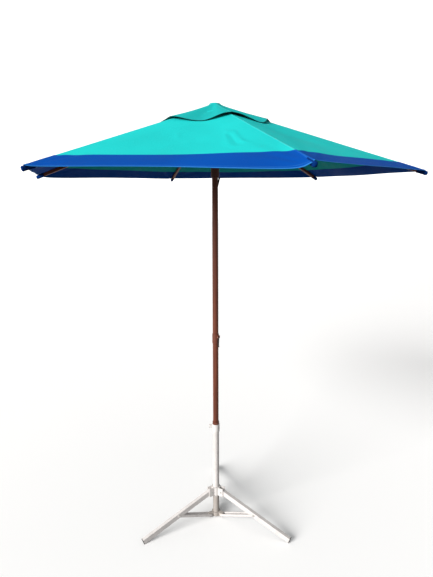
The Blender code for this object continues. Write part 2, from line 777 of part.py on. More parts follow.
def build_leg_collar():
    """The collar that slides on the tube and carries the legs between pairs of ears."""
    outside = CHEEK_INNER_FACE + CLEVIS_THICKNESS
    sector = clevis_sector(
        COLLAR_CORE_RADIUS, CHEEK_INNER_FACE, outside, LEG_HINGE_RADIUS + CLEVIS_END
    )
    low = LEG_HINGE_Z - COLLAR_HEIGHT / 2.0
    mesh = plate(
        star_outline(sector), [circle(TUBE_RADIUS + SLIDE_FIT, 48)], low, low + COLLAR_HEIGHT
    )
    collar = add_object("leg_collar", mesh, WHITE_PAINT)
    reach = outside + GAP
    holes = rod(STAND_PIN_RADIUS + PIN_FIT, -reach, reach, "y", 16)
    holes.transform(Matrix.Translation((LEG_HINGE_RADIUS, 0.0, LEG_HINGE_Z)))
    cutter = add_object("collar_pin_holes", around(holes, LEG_COUNT), None)
    cutter.rotation_euler = (0.0, 0.0, FIRST_LEG_AZIMUTH)
    combine(collar, cutter, "DIFFERENCE")


def build_spider():
    """The bracket at the foot of the tube, with a tongue for each pair of brace bars."""
    core = TUBE_RADIUS + GAP + SPIDER_WALL
    half_width = LEG_WIDTH / 2.0
    half_arc = math.asin(half_width / core)
    end = LEG_HINGE_RADIUS + SPIDER_TONGUE_END
    sector = [
        (end, -half_width),
        (end, half_width),
        *circle(core, 9, start=half_arc, sweep=2.0 * math.pi / LEG_COUNT - 2.0 * half_arc),
    ]
    low = SPIDER_HINGE_Z - SPIDER_HALF_HEIGHT
    mesh = plate(
        star_outline(sector),
        [circle(TUBE_RADIUS + GAP, 48)],
        low,
        low + 2.0 * SPIDER_HALF_HEIGHT,
    )
    add_object("spider", mesh, WHITE_PAINT)


def headed_pin(half_length):
    """A pin across a hinge, with a round head at each end."""
    start = half_length + GAP
    end = start + PIN_HEAD_LENGTH
    profile = [
        (0.0, -end),
        (PIN_HEAD_RADIUS, -end),
        (PIN_HEAD_RADIUS, -start),
        (STAND_PIN_RADIUS, -start),
        (STAND_PIN_RADIUS, start),
        (PIN_HEAD_RADIUS, start),
        (PIN_HEAD_RADIUS, end),
        (0.0, end),
    ]
    mesh = lathe(profile, 16)
    mesh.transform(Matrix.Rotation(math.radians(-90.0), 4, "X"))
    return mesh


def build_leg(number, plane):
    """A leg: a rectangular tube with a round, solid hinge end."""
    half = LEG_DEPTH / 2.0
    outline = [
        *circle(half, 13, start=math.pi / 2.0, sweep=math.pi),
        (LEG_LENGTH, -half),
        (LEG_LENGTH, half),
    ]
    holes = [
        circle(STAND_PIN_RADIUS + PIN_FIT, 16),
        circle(STAND_PIN_RADIUS + PIN_FIT, 16, (BRACE_LENGTH, 0.0)),
    ]
    placed = {
        "parent": plane,
        "place": (LEG_HINGE_RADIUS, 0.0, LEG_HINGE_Z),
        "turn": (0.0, LEG_PITCH, 0.0),
    }
    side = LEG_WIDTH / 2.0
    mesh = plate(outline, holes, -side, side, facing="y")
    leg = add_object(f"leg_{number}", mesh, WHITE_PAINT, **placed)
    bore_side = side - LEG_WALL
    bore_half = half - LEG_WALL
    bore = box((LEG_SOLID_END, -bore_side, -bore_half), (LEG_REACH, bore_side, bore_half))
    combine(leg, add_object(f"leg_bore_{number}", bore, None, **placed), "DIFFERENCE")
    build_foot_plug(number, placed, bore_side - GAP, bore_half - GAP)
    pins_outside = CHEEK_INNER_FACE + CLEVIS_THICKNESS
    add_object(f"leg_pin_{number}", headed_pin(pins_outside), ZINC, **placed)


def build_foot_plug(number, placed, side, half):
    """The plug in the foot end of a leg: a flange over the tube's end, and a block inside it."""
    inside = LEG_LENGTH - PLUG_LENGTH
    start = LEG_LENGTH + GAP
    outer = LEG_DEPTH / 2.0
    flange = box((start, -LEG_WIDTH / 2.0, -outer), (LEG_REACH, LEG_WIDTH / 2.0, outer))
    plug = add_object(f"foot_plug_{number}", flange, DARK_PLASTIC, **placed)
    block = box((inside, -side, -half), (start + PLUG_FLANGE / 2.0, side, half))
    combine(plug, add_object(f"plug_block_{number}", block, None, **placed), "UNION")


def build_braces(number, plane):
    """Two flat bars beside a leg, from its middle down to the spider, and their pin."""
    placed = {
        "parent": plane,
        "place": (
            LEG_HINGE_RADIUS + BRACE_LENGTH * math.cos(LEG_PITCH),
            0.0,
            LEG_HINGE_Z - BRACE_LENGTH * math.sin(LEG_PITCH),
        ),
        "turn": (0.0, math.pi - LEG_PITCH, 0.0),
    }
    half = BRACE_HALF_DEPTH
    outline = [
        *circle(half, 9, start=math.pi / 2.0, sweep=math.pi),
        *circle(half, 9, (BRACE_LENGTH, 0.0), start=-math.pi / 2.0, sweep=math.pi),
    ]
    holes = [circle(STAND_PIN_RADIUS + PIN_FIT, 16)]
    outside = CHEEK_INNER_FACE + BRACE_THICKNESS
    for sign, side in ((-1.0, "left"), (1.0, "right")):
        faces = sorted((sign * CHEEK_INNER_FACE, sign * outside))
        bar = plate(outline, holes, *faces, facing="y")
        add_object(f"brace_{number}_{side}", bar, WHITE_PAINT, **placed)
    add_object(f"brace_pin_{number}", headed_pin(outside), ZINC, **placed)


# ---------------------------------------------------------------- assembly


def build_canopy():
    build_hub()
    build_hinge_wire()
    build_crown_cap()
    build_runner()
    for k in range(RIB_COUNT):
        azimuth = FIRST_RIB_AZIMUTH + 2.0 * math.pi * k / RIB_COUNT
        plane = azimuth_empty(f"rib_plane_{k + 1}", azimuth)
        build_rib(k + 1, plane)
        build_stretcher(k + 1, plane)
        build_petals(k + 1, plane)


def build_pole():
    build_lower_pole()
    build_upper_pole(build_catch())
    build_stop_ring()
    build_joint_sleeve()


def build_stand():
    screw_plane = azimuth_empty("screw_plane", SCREW_AZIMUTH)
    build_base_tube(screw_plane)
    build_socket(screw_plane)
    build_tube_plug()
    build_leg_collar()
    build_spider()
    for k in range(LEG_COUNT):
        azimuth = FIRST_LEG_AZIMUTH + 2.0 * math.pi * k / LEG_COUNT
        plane = azimuth_empty(f"leg_plane_{k + 1}", azimuth)
        build_leg(k + 1, plane)
        build_braces(k + 1, plane)


def main():
    clear_scene()
    build_stand()
    build_pole()
    build_canopy()


main()
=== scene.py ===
"""The looks of the beach umbrella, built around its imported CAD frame.

Metres, +Z up. The pole stands on the Z axis. Ribs are numbered anticlockwise from above, and panel p
of the canopy lies between rib p and the next one.
"""

import json
import math

import bmesh
import bpy
import numpy as np
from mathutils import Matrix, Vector


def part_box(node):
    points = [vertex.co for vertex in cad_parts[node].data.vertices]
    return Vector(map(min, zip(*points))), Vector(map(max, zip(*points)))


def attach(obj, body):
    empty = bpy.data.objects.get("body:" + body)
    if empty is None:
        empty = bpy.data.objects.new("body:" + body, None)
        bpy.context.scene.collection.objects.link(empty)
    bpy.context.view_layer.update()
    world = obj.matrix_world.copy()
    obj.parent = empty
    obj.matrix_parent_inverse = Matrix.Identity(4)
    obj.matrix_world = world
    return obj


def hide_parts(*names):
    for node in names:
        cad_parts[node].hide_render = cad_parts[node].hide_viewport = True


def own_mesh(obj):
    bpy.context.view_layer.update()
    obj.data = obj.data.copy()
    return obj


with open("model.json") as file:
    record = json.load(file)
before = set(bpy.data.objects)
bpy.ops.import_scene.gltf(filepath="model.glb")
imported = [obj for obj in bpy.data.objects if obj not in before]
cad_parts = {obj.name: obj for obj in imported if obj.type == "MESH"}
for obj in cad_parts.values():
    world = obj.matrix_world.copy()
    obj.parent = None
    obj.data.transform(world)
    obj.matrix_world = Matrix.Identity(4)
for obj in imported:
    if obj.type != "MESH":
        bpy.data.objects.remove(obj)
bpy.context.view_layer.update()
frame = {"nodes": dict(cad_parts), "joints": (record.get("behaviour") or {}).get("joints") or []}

NODES = frame["nodes"]
JOINTS = {joint["name"]: joint for joint in frame["joints"]}
RIB_COUNT = sum(name.startswith("rib_") and name.endswith("_fold") for name in JOINTS)

# ---------------------------------------------------------------- fabric sizes

CLOTH_THICKNESS = 0.0006
BAND_WIDTH = 0.113  # the blue border, measured along a rib
BAND_STEP = 0.0009  # how far the border's edge stands proud of the panel
HEM_WIDTH = 0.014
# the lighter blue strip this wide at the hem is a painted highlight along the hem's fold
HEM_RISE = 0.0008
HEM_HIGHLIGHT_WIDTH = 0.006
SEAM_HALF_WIDTH = 0.0065
SEAM_RISE = 0.0006
SEAM_EDGE_INSET = 0.0010  # where a seam's edge starts to fall, inside its half width
SEAM_EDGE_LENGTH = 0.0025
SEAM_GROOVE_WIDTH = 0.0009
SEAM_GROOVE_SHARE = 0.35  # the groove's depth as a share of the seam's rise
SEWN_EDGE_LENGTH = 0.0012  # how quickly the border and the hem rise
STITCH_PITCH = 0.0042
STITCH_SHARE = 0.68  # a stitch's length as a share of the pitch
STITCH_HALF_WIDTH = 0.00055
SEAM_STITCHES = (("ridge", 0.0028), ("ridge", 0.0052))
WEAVE_PITCH = 0.0011

PANEL_SAG = 0.007  # how far a panel's middle hangs below its ridges, halfway to the hem
HEM_DROOP = (0.003, 0.003)  # how far a hem hangs below its first and second rib tip
LOOSE_HEMS = {3: (0.005, 0.014), 5: (0.008, 0.025)}  # the same, where the cloth is slack
DROOP_REACH = 0.055  # how far inwards a drooping hem pulls the panel down
TIP_RISE_LENGTH = 0.022  # how fast a hem rises to a rib tip
DROOP_CHANGE_START = 0.22  # share of the hem where its droop starts to change
DROOP_CHANGE_RUN = 0.80  # share of the hem over which it changes

FAN_HEIGHT = 0.0016  # the folds that fan out from a rib tip
FAN_RATE = 11.0
FAN_FADE = 0.17
FAN_START = 0.06
WAVE_HEIGHT = 0.0014
WAVES = ((1.0, 7.0, 5.0, 1.9), (0.6, 15.0, -9.0, 2.3))  # strength, rate outwards, rate across, phase
CREASE_FADE = 0.05

SEAM_COLUMNS = (0.0, 0.0009, 0.002, 0.0045, 0.0062, 0.0070, 0.0080, 0.0100)  # distances from a ridge
SPREAD_COLUMNS = 26  # columns from those to the panel's middle
PAST_MIDDLE = 1.02  # the extra column, as a share of half a panel's width

POCKET_LENGTH = 0.046
POCKET_ROUNDING = 0.006
POCKET_SLACK = 0.0018
POCKET_END_SLACK = 0.0045
POCKET_TIP_LENGTH = 0.03  # how much of the rib's end sets the pocket's width and depth
POCKET_SQUARENESS = 3.4  # 2 would make the section an ellipse
POCKET_PUCKER = 0.0006
POCKET_FLARE = 0.10  # how much wider its mouth is
POCKET_END_WIDTH = 0.25  # its closed end, as a share of its full width and depth
POCKET_END_DEPTH = 0.30
POCKET_UV_INSET = 0.04  # where its cloth coordinates end, inside the canopy's hem
POCKET_RINGS = 26
POCKET_CORNERS = 28

CAP_MIDDLE_REACH = 0.024  # how far the vent cap's scallops go past its corners
CAP_TIGHT_PANEL = 4  # the scallop that is pulled down close to its corners
CAP_CORNER_SHIFT = {5: 0.024, 6: -0.020, 1: -0.010}  # how far corners sit out of line
CAP_SCALLOP_LIFT = 0.0030  # a scallop's lowest point above the canopy
CAP_TIGHT_LIFT = 0.0012
# the dark strip this wide at the vent cap's hem is painted shadow of the gap under it
CAP_HEM_SHADOW_WIDTH = 0.0055
CAP_SCALLOP_POWER = 1.3  # how softly a scallop leaves its corners
CAP_TIGHT_POWER = 0.2
CAP_PROFILE_POWER = 0.80  # below 1, so the cap is steeper near its top
CAP_CREASE_HEIGHT = 0.0016
CAP_CREASE_WIDTH = 0.004
CAP_RIPPLE = 0.0015
CAP_SEAM_COLUMNS = (0.0, 0.01, 0.025, 0.05, 0.09)  # shares of the turn to the cap panel's middle
CAP_SPREAD_START = 0.14
CAP_PAST_MIDDLE = 1.03
CAP_HEM_START = 0.97  # where the cap's rows draw closer together

CROWN_OVERLAP = 0.005  # how far the round patch at the top reaches over the vent cap's panels
CROWN_RISE = 0.0006
CROWN_DROP = 0.0055  # how far its rim bends down
CROWN_CORNERS = 60

FRONT_PANEL = 5

# ---------------------------------------------------------------- studio values

CAMERA_PLACE = (-0.012, -2.173, 1.687)
CAMERA_DOWN = 11.81  # degrees
CAMERA_ROLL = 0.17
CAMERA_YAW = -0.49
CAMERA_LENS = 28.85
KEY_DIRECTION = (0.70, 0.66, -0.37)
KEY_ANGLE = 34.0
KEY_ENERGY = 5.5
SKY_BLEND = 0.3  # the sky changes between this far below the horizon and this far above it
SKY_BELOW = 0.13
SKY_ABOVE = 0.47


# ---------------------------------------------------------------- places read from the frame


def vertices(node):
    """A CAD node's vertices in the row frame, as an array."""
    return np.array([v.co for v in NODES[node].data.vertices])


def farthest_point(points):
    """The highest of the points that lie farthest from the pole: (radius, height)."""
    radius = np.hypot(points[:, 0], points[:, 1])
    edge = points[radius > radius.max() - 1e-4]
    return float(radius.max()), float(edge[:, 2].max())


def inner_ridge_point(points):
    """Where a panel's ridge starts: the outermost of its highest points."""
    return farthest_point(points[points[:, 2] > points[:, 2].max() - 1e-4])


def rib_azimuth(number):
    """The turn of a rib about the pole. Numbers past the last rib start again at 1."""
    place = JOINTS[f"rib_{(number - 1) % RIB_COUNT + 1}_fold"]["pos_m"]
    return math.atan2(place[1], place[0])


CANOPY_TIP = farthest_point(vertices("canopy_panel_1"))
CANOPY_TOP = inner_ridge_point(vertices("canopy_panel_1"))
CAP_CORNER = farthest_point(vertices("vent_cap_panel_1"))
CAP_TOP = inner_ridge_point(vertices("vent_cap_panel_1"))
RIDGE_SLOPE = (CANOPY_TOP[1] - CANOPY_TIP[1]) / (CANOPY_TIP[0] - CANOPY_TOP[0])
HALF_ANGLE = math.pi / RIB_COUNT


def ridge_height(radius):
    """The canopy's height over a rib."""
    return CANOPY_TIP[1] + (CANOPY_TIP[0] - radius) * RIDGE_SLOPE


# ---------------------------------------------------------------- canopy surface


def smooth_step(value):
    """0 below 0, 1 above 1, and a smooth rise between."""
    value = np.clip(value, 0.0, 1.0)
    return value * value * (3.0 - 2.0 * value)


def hem_droop(panel, share):
    """How far a panel's hem hangs below its two rib tips. share runs from 0 to 1 along the hem."""
    chord = CANOPY_TIP[0] * 2.0 * math.sin(HALF_ANGLE)
    rise = TIP_RISE_LENGTH / chord
    ends = (1.0 - np.exp(-share / rise)) * (1.0 - np.exp(-(1.0 - share) / rise))
    first, second = LOOSE_HEMS.get(panel, HEM_DROOP)
    profile = first + (second - first) * smooth_step((share - DROOP_CHANGE_START) / DROOP_CHANGE_RUN)
    return profile * ends


def tension_folds(panel, radius, share):
    """Faint folds that fan out over a panel from its two rib tips."""
    chord = radius * 2.0 * math.sin(HALF_ANGLE)
    total = np.zeros_like(radius + share)
    for tip_share, phase in ((share, 0.7 * panel), (1.0 - share, 1.3 * panel + 1.0)):
        across = tip_share * chord
        along = (CANOPY_TIP[0] - radius) * math.cos(HALF_ANGLE)
        distance = np.hypot(across, along)
        angle = np.arctan2(across, along + 1e-6)
        strength = np.exp(-distance / FAN_FADE) * smooth_step(distance / FAN_START)
        total = total + FAN_HEIGHT * strength * np.sin(FAN_RATE * angle + phase)
    return total


def slow_waves(panel, radius, share):
    """Broad unevenness, so that no panel is quite flat."""
    inside = np.sin(math.pi * np.clip(share, 0.0, 1.0)) ** 2
    waves = sum(
        strength * np.sin(outwards * radius + across * share + phase * panel)
        for strength, outwards, across, phase in WAVES
    )
    return WAVE_HEIGHT * inside * waves


# Creases in the front panel: (radius, share of the hem) at each point, height, half width.
FRONT_CREASES = (
    (((0.470, 0.792), (0.570, 0.758), (0.660, 0.752), (0.745, 0.760)), 0.0030, 0.0080),
    (((0.475, 0.818), (0.600, 0.812), (0.700, 0.836)), 0.0032, 0.0080),
    (((0.520, 0.772), (0.640, 0.790), (0.720, 0.800)), -0.0018, 0.0100),
    (((0.480, 0.395), (0.600, 0.470)), 0.0014, 0.0100),
    (((0.560, 0.560), (0.700, 0.520)), 0.0012, 0.0110),
)


def creases(panel, radius, share):
    """Short creases left from storage, near the front ridge."""
    total = np.zeros_like(radius + share)
    if panel != FRONT_PANEL:
        return total
    step = 2.0 * math.sin(HALF_ANGLE)
    across = (share - 0.5) * radius * step
    for line, height, width in FRONT_CREASES:
        spots = [np.array([r, (at - 0.5) * r * step]) for r, at in line]
        nearest = np.full_like(total, 1.0)
        for a, b in zip(spots, spots[1:]):
            run = b - a
            along = ((radius - a[0]) * run[0] + (across - a[1]) * run[1]) / (run @ run)
            near = np.clip(along, 0.0, 1.0)
            away = np.hypot(radius - a[0] - near * run[0], across - a[1] - near * run[1])
            nearest = np.minimum(nearest, away)
        fade = smooth_step((radius - line[0][0]) / CREASE_FADE)
        fade = fade * smooth_step((line[-1][0] - radius) / CREASE_FADE)
        total = total + height * np.exp(-((nearest / width) ** 2)) * fade
    return total


def sewn_relief(radius, ridge_distance):
    """How far seams, border and hem stand proud of the plain cloth."""
    seam = 1.0 - smooth_step((ridge_distance - SEAM_HALF_WIDTH + SEAM_EDGE_INSET) / SEAM_EDGE_LENGTH)
    groove = np.exp(-((ridge_distance / SEAM_GROOVE_WIDTH) ** 2))
    band_start = CANOPY_TIP[0] - BAND_WIDTH
    band = smooth_step((radius - band_start) / SEWN_EDGE_LENGTH)
    hem = smooth_step((radius - (CANOPY_TIP[0] - HEM_WIDTH)) / SEWN_EDGE_LENGTH)
    relief = np.maximum(SEAM_RISE * (seam - SEAM_GROOVE_SHARE * groove), 0.0)
    return relief + BAND_STEP * band + HEM_RISE * hem


def panel_point(panel, radius, share):
    """A point of the canopy, at the radius of its row's ridges and a share of the way to the next rib."""
    start, end = rib_azimuth(panel), rib_azimuth(panel) + 2.0 * HALF_ANGLE
    x = radius * ((1.0 - share) * math.cos(start) + share * math.cos(end))
    y = radius * ((1.0 - share) * math.sin(start) + share * math.sin(end))
    chord = radius * 2.0 * math.sin(HALF_ANGLE)
    nearest = np.minimum(share, 1.0 - share) * chord
    outwards = (radius - CANOPY_TOP[0]) / (CANOPY_TIP[0] - CANOPY_TOP[0])
    sag = PANEL_SAG * np.sin(math.pi * share) ** 2 * np.sin(math.pi * outwards)
    pull = np.exp(-(CANOPY_TIP[0] - radius) / DROOP_REACH)
    z = ridge_height(radius) - sag - hem_droop(panel, share) * pull
    z = z + tension_folds(panel, radius, share) + slow_waves(panel, radius, share)
    z = z + creases(panel, radius, share) + sewn_relief(radius, nearest)
    return np.stack(np.broadcast_arrays(x, y, z), axis=-1)


def canopy_rows():
    """Radii of the canopy's rows, closer together at the border's seam and the hem."""
    tip = CANOPY_TIP[0]
    band = tip - BAND_WIDTH
    hem = tip - HEM_WIDTH
    near_band, near_hem = 0.004, 0.003
    return np.concatenate(
        [
            np.linspace(CANOPY_TOP[0], band - near_band, 96, endpoint=False),
            np.linspace(band - near_band, band + near_band, 10, endpoint=False),
            np.linspace(band + near_band, hem - near_hem, 20, endpoint=False),
            np.linspace(hem - near_hem, hem + near_hem, 8, endpoint=False),
            np.linspace(hem + near_hem, tip, 7),
        ]
    )


def canopy_grid(number):
    """Points of one rib's petal, with one extra column past each mid-panel line, and their UVs."""
    radius = canopy_rows()[:, None]
    chord = radius * 2.0 * math.sin(HALF_ANGLE)
    fixed = np.array(SEAM_COLUMNS)
    shares = np.linspace(0.0, 1.0, SPREAD_COLUMNS + 1)[1:]
    spread = fixed[-1] + (chord / 2.0 - fixed[-1]) * shares[None, :]
    past = chord / 2.0 * PAST_MIDDLE
    distance = np.concatenate([np.broadcast_to(fixed, (len(radius), len(fixed))), spread, past], 1)
    right = panel_point(number, radius, distance / chord)
    left = panel_point(number - 1 if number > 1 else RIB_COUNT, radius, 1.0 - distance / chord)
    points = np.concatenate([left[:, :0:-1], right], axis=1)
    across = np.concatenate([-distance[:, :0:-1], distance], axis=1)
    along = np.broadcast_to(radius, across.shape)
    return points, np.stack([across, along], axis=-1)


# ---------------------------------------------------------------- vent cap surface


def cap_corner(number):
    """How far the vent cap's corner over a rib lies from the pole."""
    return CAP_CORNER[0] + CAP_CORNER_SHIFT.get((number - 1) % RIB_COUNT + 1, 0.0)


def canopy_under(number, azimuth_offset, radius):
    """The canopy's height at a turn from a rib and a distance from the pole."""
    turn = np.abs(azimuth_offset)
    ridge_radius = radius * np.cos(HALF_ANGLE - turn) / math.cos(HALF_ANGLE)
    share = radius * np.sin(turn) / (ridge_radius * math.sin(2.0 * HALF_ANGLE))
    before = panel_point((number - 2) % RIB_COUNT + 1, ridge_radius, 1.0 - share)[..., 2]
    after = panel_point(number, ridge_radius, share)[..., 2]
    return np.where(azimuth_offset < 0.0, before, after)


def cap_point(number, azimuth_offset, share):
    """A point of the vent cap near a rib, at a turn from it and a share of the way to the hem."""
    turn = np.abs(azimuth_offset) / HALF_ANGLE
    beside = np.where(azimuth_offset < 0.0, cap_corner(number - 1), cap_corner(number + 1))
    own = 0.5 + 0.5 * np.cos(math.pi * turn / 2.0) ** 2
    panel = np.where(azimuth_offset < 0.0, (number - 2) % RIB_COUNT + 1, number)
    tight = panel == CAP_TIGHT_PANEL
    middle = np.abs(np.sin(math.pi * turn / 2.0)) ** np.where(tight, CAP_TIGHT_POWER, CAP_SCALLOP_POWER)
    reach = own * cap_corner(number) + (1.0 - own) * beside + CAP_MIDDLE_REACH * middle
    radius = CAP_TOP[0] + (reach - CAP_TOP[0]) * share
    lift = np.where(tight, CAP_TIGHT_LIFT, CAP_SCALLOP_LIFT)
    low = canopy_under(number, azimuth_offset, reach) + lift
    corner = CAP_CORNER[1] + RIDGE_SLOPE * (CAP_CORNER[0] - cap_corner(number))
    end = corner * (1.0 - middle) + low * middle
    crease = CAP_CREASE_HEIGHT * np.exp(-np.abs(azimuth_offset) * radius / CAP_CREASE_WIDTH)
    ripple = CAP_RIPPLE * middle * share * (1.0 - share) * np.sin(9.0 * azimuth_offset + 8.0 * share)
    slope = CAP_TOP[1] + (end - CAP_TOP[1]) * share**CAP_PROFILE_POWER
    height = slope + crease * smooth_step(share * 3.0) + ripple
    resting = canopy_under(number, azimuth_offset, np.maximum(radius, CANOPY_TOP[0])) + CAP_TIGHT_LIFT
    return radius, np.where(radius > CANOPY_TOP[0], np.maximum(height, resting), height)


def cap_grid(number):
    """Points of one rib's share of the vent cap, with one extra column at each side, and their UVs."""
    rows = [np.linspace(0.0, CAP_HEM_START, 30, endpoint=False), np.linspace(CAP_HEM_START, 1.0, 4)]
    share = np.concatenate(rows)[:, None]
    half = np.concatenate([np.array(CAP_SEAM_COLUMNS), np.linspace(CAP_SPREAD_START, 1.0, 14)])
    half = np.append(half, CAP_PAST_MIDDLE) * HALF_ANGLE
    offset = np.concatenate([-half[:0:-1], half])[None, :]
    radius, height = cap_point(number, offset, share)
    azimuth = rib_azimuth(number) + offset
    points = np.stack([radius * np.cos(azimuth), radius * np.sin(azimuth), height], axis=-1)
    hem_distance = (1.0 - share) * (radius[-1:, :] - radius[:1, :])
    uv = np.stack(np.broadcast_arrays(offset * radius, hem_distance), axis=-1)
    return points, uv


# ---------------------------------------------------------------- sheets from grids


def add_object(name, data):
    """A new object in the scene."""
    piece = bpy.data.objects.new(name, data)
    bpy.context.scene.collection.objects.link(piece)
    return piece


def rib_axes(number):
    """Unit vectors outwards along a rib's azimuth, sideways from it, and up."""
    azimuth = rib_azimuth(number)
    outward = np.array([math.cos(azimuth), math.sin(azimuth), 0.0])
    tangent = np.array([-math.sin(azimuth), math.cos(azimuth), 0.0])
    return outward, tangent, np.array([0.0, 0.0, 1.0])


def grid_normals(points):
    """Upward unit normals of a grid of points."""
    along = np.gradient(points, axis=0)
    across = np.gradient(points, axis=1)
    normals = np.cross(along, across)
    normals /= np.linalg.norm(normals, axis=-1, keepdims=True)
    return normals * np.sign(normals[..., 2:3])


def sheet_faces(rows, columns):
    """The corners of a closed sheet's faces, and its rim's points, each with the one after it."""
    count = rows * columns
    index = np.arange(count).reshape(rows, columns)
    a, b = index[:-1, :-1].ravel(), index[:-1, 1:].ravel()
    c, d = index[1:, 1:].ravel(), index[1:, :-1].ravel()
    upper = np.stack([a, d, c, b], axis=1)
    lower = np.stack([a, b, c, d], axis=1) + count
    rim = np.concatenate([index[0, :], index[1:, -1], index[-1, -2::-1], index[-2:0:-1, 0]])
    after = np.roll(rim, -1)
    edge = np.stack([rim, after, after + count, rim + count], axis=1)
    return upper, lower, edge, rim, after


def sheet_object(name, points, normals, uv, materials, row_material):
    """A closed sheet of cloth from a grid of points, with smooth faces and sharp edges."""
    rows, columns = points.shape[:2]
    top = points.reshape(-1, 3)
    bottom = (points - normals * CLOTH_THICKNESS).reshape(-1, 3)
    upper, lower, edge, rim, after = sheet_faces(rows, columns)
    faces = np.concatenate([upper, lower, edge])
    data = bpy.data.meshes.new(name)
    data.from_pydata(np.concatenate([top, bottom]).tolist(), [], faces.tolist())
    face_rows = np.repeat(np.arange(rows - 1), columns - 1)
    rim_rows = np.minimum(rim // columns, rows - 2)
    slots = np.array([row_material(r) for r in range(rows - 1)])
    data.polygons.foreach_set(
        "material_index", np.concatenate([slots[face_rows], slots[face_rows], slots[rim_rows]])
    )
    for material in materials:
        data.materials.append(material)
    layer = data.uv_layers.new(name="cloth")
    flat_uv = np.concatenate([uv.reshape(-1, 2)] * 2)
    layer.data.foreach_set("uv", flat_uv[faces.ravel()].ravel())
    data.polygons.foreach_set("use_smooth", [True] * len(faces))
    flat_normals = normals.reshape(-1, 3)
    rim_out = np.cross(bottom[after] - top[rim], top[after] - top[rim])
    rim_out /= np.linalg.norm(rim_out, axis=1, keepdims=True)
    corner_normals = np.concatenate(
        [
            flat_normals[upper.ravel()],
            -flat_normals[(lower - rows * columns).ravel()],
            np.repeat(rim_out, 4, axis=0),
        ]
    )
    data.normals_split_custom_set(corner_normals.tolist())
    data.validate(clean_customdata=False)
    return add_object(name, data)


def gather(piece, number, side):
    """The piece moves with its rib.

    It works out an axis in the plane of its half of a panel, at right angles to the ridge, for gathering
    towards the ridge as the canopy closes, but nothing uses it.
    """
    outward, tangent, upward = rib_axes(number)
    ridge = outward - RIDGE_SLOPE * upward
    ridge /= np.linalg.norm(ridge)
    middle = outward * math.cos(HALF_ANGLE) ** 2 - RIDGE_SLOPE * upward
    middle += side * tangent * math.cos(HALF_ANGLE) * math.sin(HALF_ANGLE)
    axis = middle - (middle @ ridge) * ridge
    axis /= np.linalg.norm(axis)
    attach(piece, f"rib_{number}")
    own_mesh(piece)


def surface_area(points):
    """The area of a grid of points, with each cell taken as a parallelogram."""
    a = points[1:, :-1] - points[:-1, :-1]
    b = points[:-1, 1:] - points[:-1, :-1]
    return float(np.linalg.norm(np.cross(a, b), axis=-1).sum())


def declare_sheet(points, node):
    """Works out how large the sheet was cut: its width along the hem, its length down its middle and its
    area, which nothing uses. Hides the CAD node the sheet replaces.
    """
    length = np.linalg.norm(np.diff(points[:, points.shape[1] // 2], axis=0), axis=1).sum()
    width = np.linalg.norm(np.diff(points[-1], axis=0), axis=1).sum()
    area = surface_area(points)
    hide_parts(node)


def build_halves(names, number, points, normals, uv, materials, row_material):
    """A rib's cloth as two sheets that meet at the ridge.

    Right and left are as seen from the pole, looking out along the rib.
    """
    middle = points.shape[1] // 2
    name, node = names
    for side, part in ((-1, slice(None, middle + 1)), (1, slice(middle, None))):
        end = "right" if side < 0 else "left"
        half = points[:, part]
        title = f"{name}_{number}_{end}"
        piece = sheet_object(title, half, normals[:, part], uv[:, part], materials, row_material)
        declare_sheet(half, f"{node}_{number}")
        gather(piece, number, side)


def build_canopy_petal(number, materials):
    """The canopy's cloth over one rib, out to the middle of the panel on each side."""
    points, uv = canopy_grid(number)
    normals = grid_normals(points)[:, 1:-1]
    points, uv = points[:, 1:-1], uv[:, 1:-1]
    rows = canopy_rows()
    band = CANOPY_TIP[0] - BAND_WIDTH
    # rows past this radius take the lighter blue: a painted highlight along the hem's fold
    painted_hem_lighting = CANOPY_TIP[0] - HEM_HIGHLIGHT_WIDTH

    def row_material(row):
        middle = (rows[row] + rows[row + 1]) / 2.0
        return int(middle > band) + int(middle > painted_hem_lighting)

    names = ("canopy_cloth", "canopy_panel")
    build_halves(names, number, points, normals, uv, materials, row_material)


def build_cap_petal(number, materials):
    """The vent cap's cloth over one rib."""
    points, uv = cap_grid(number)
    normals = grid_normals(points)[:, 1:-1]
    points, uv = points[:, 1:-1], uv[:, 1:-1]

    def row_material(row):
        # rows this near the hem take the dark teal: painted shadow of the gap under the cap
        return int(uv[row, 0, 1] <= CAP_HEM_SHADOW_WIDTH)

    names = ("vent_cloth", "vent_cap_panel")
    build_halves(names, number, points, normals, uv, materials, row_material)


def build_crown_patch(material):
    """The round patch of cloth over the top of the pole, where the vent cap's panels meet."""
    edge = CAP_TOP[0] + CROWN_OVERLAP
    top = CAP_TOP[1] + CLOTH_THICKNESS + CROWN_RISE
    bends = np.linspace(0.0, math.pi / 2.0, 13)
    outer = [(edge * math.sin(t), top - CROWN_DROP * (1.0 - math.cos(t)) ** 2) for t in bends]
    inner = [(max(0.0, r - CLOTH_THICKNESS * 0.7), z - CLOTH_THICKNESS) for r, z in outer[::-1]]
    profile = outer + inner
    data = bpy.data.meshes.new("crown_patch")
    mesh = bmesh.new()
    uv = mesh.loops.layers.uv.new("cloth")
    turns = [2.0 * math.pi * corner / CROWN_CORNERS for corner in range(CROWN_CORNERS)]
    rings = []
    for radius, height in profile:
        if radius < 1e-6:
            rings.append([mesh.verts.new((0.0, 0.0, height))] * CROWN_CORNERS)
        else:
            places = [(radius * math.cos(t), radius * math.sin(t), height) for t in turns]
            rings.append([mesh.verts.new(place) for place in places])
    for first, second in zip(rings, rings[1:]):
        for corner in range(CROWN_CORNERS):
            after = (corner + 1) % CROWN_CORNERS
            loop = [first[corner], second[corner], second[after], first[after]]
            made = mesh.faces.new(list(dict.fromkeys(loop)))
            made.smooth = True
    for made in mesh.faces:
        for loop in made.loops:
            x, y, _ = loop.vert.co
            loop[uv].uv = (x + 1.0, y + 1.0)
    bmesh.ops.recalc_face_normals(mesh, faces=mesh.faces)
    mesh.to_mesh(data)
    mesh.free()
    data.materials.append(material)
    piece = add_object("crown_patch", data)
    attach(piece, "upper_pole")


# ---------------------------------------------------------------- tip pockets


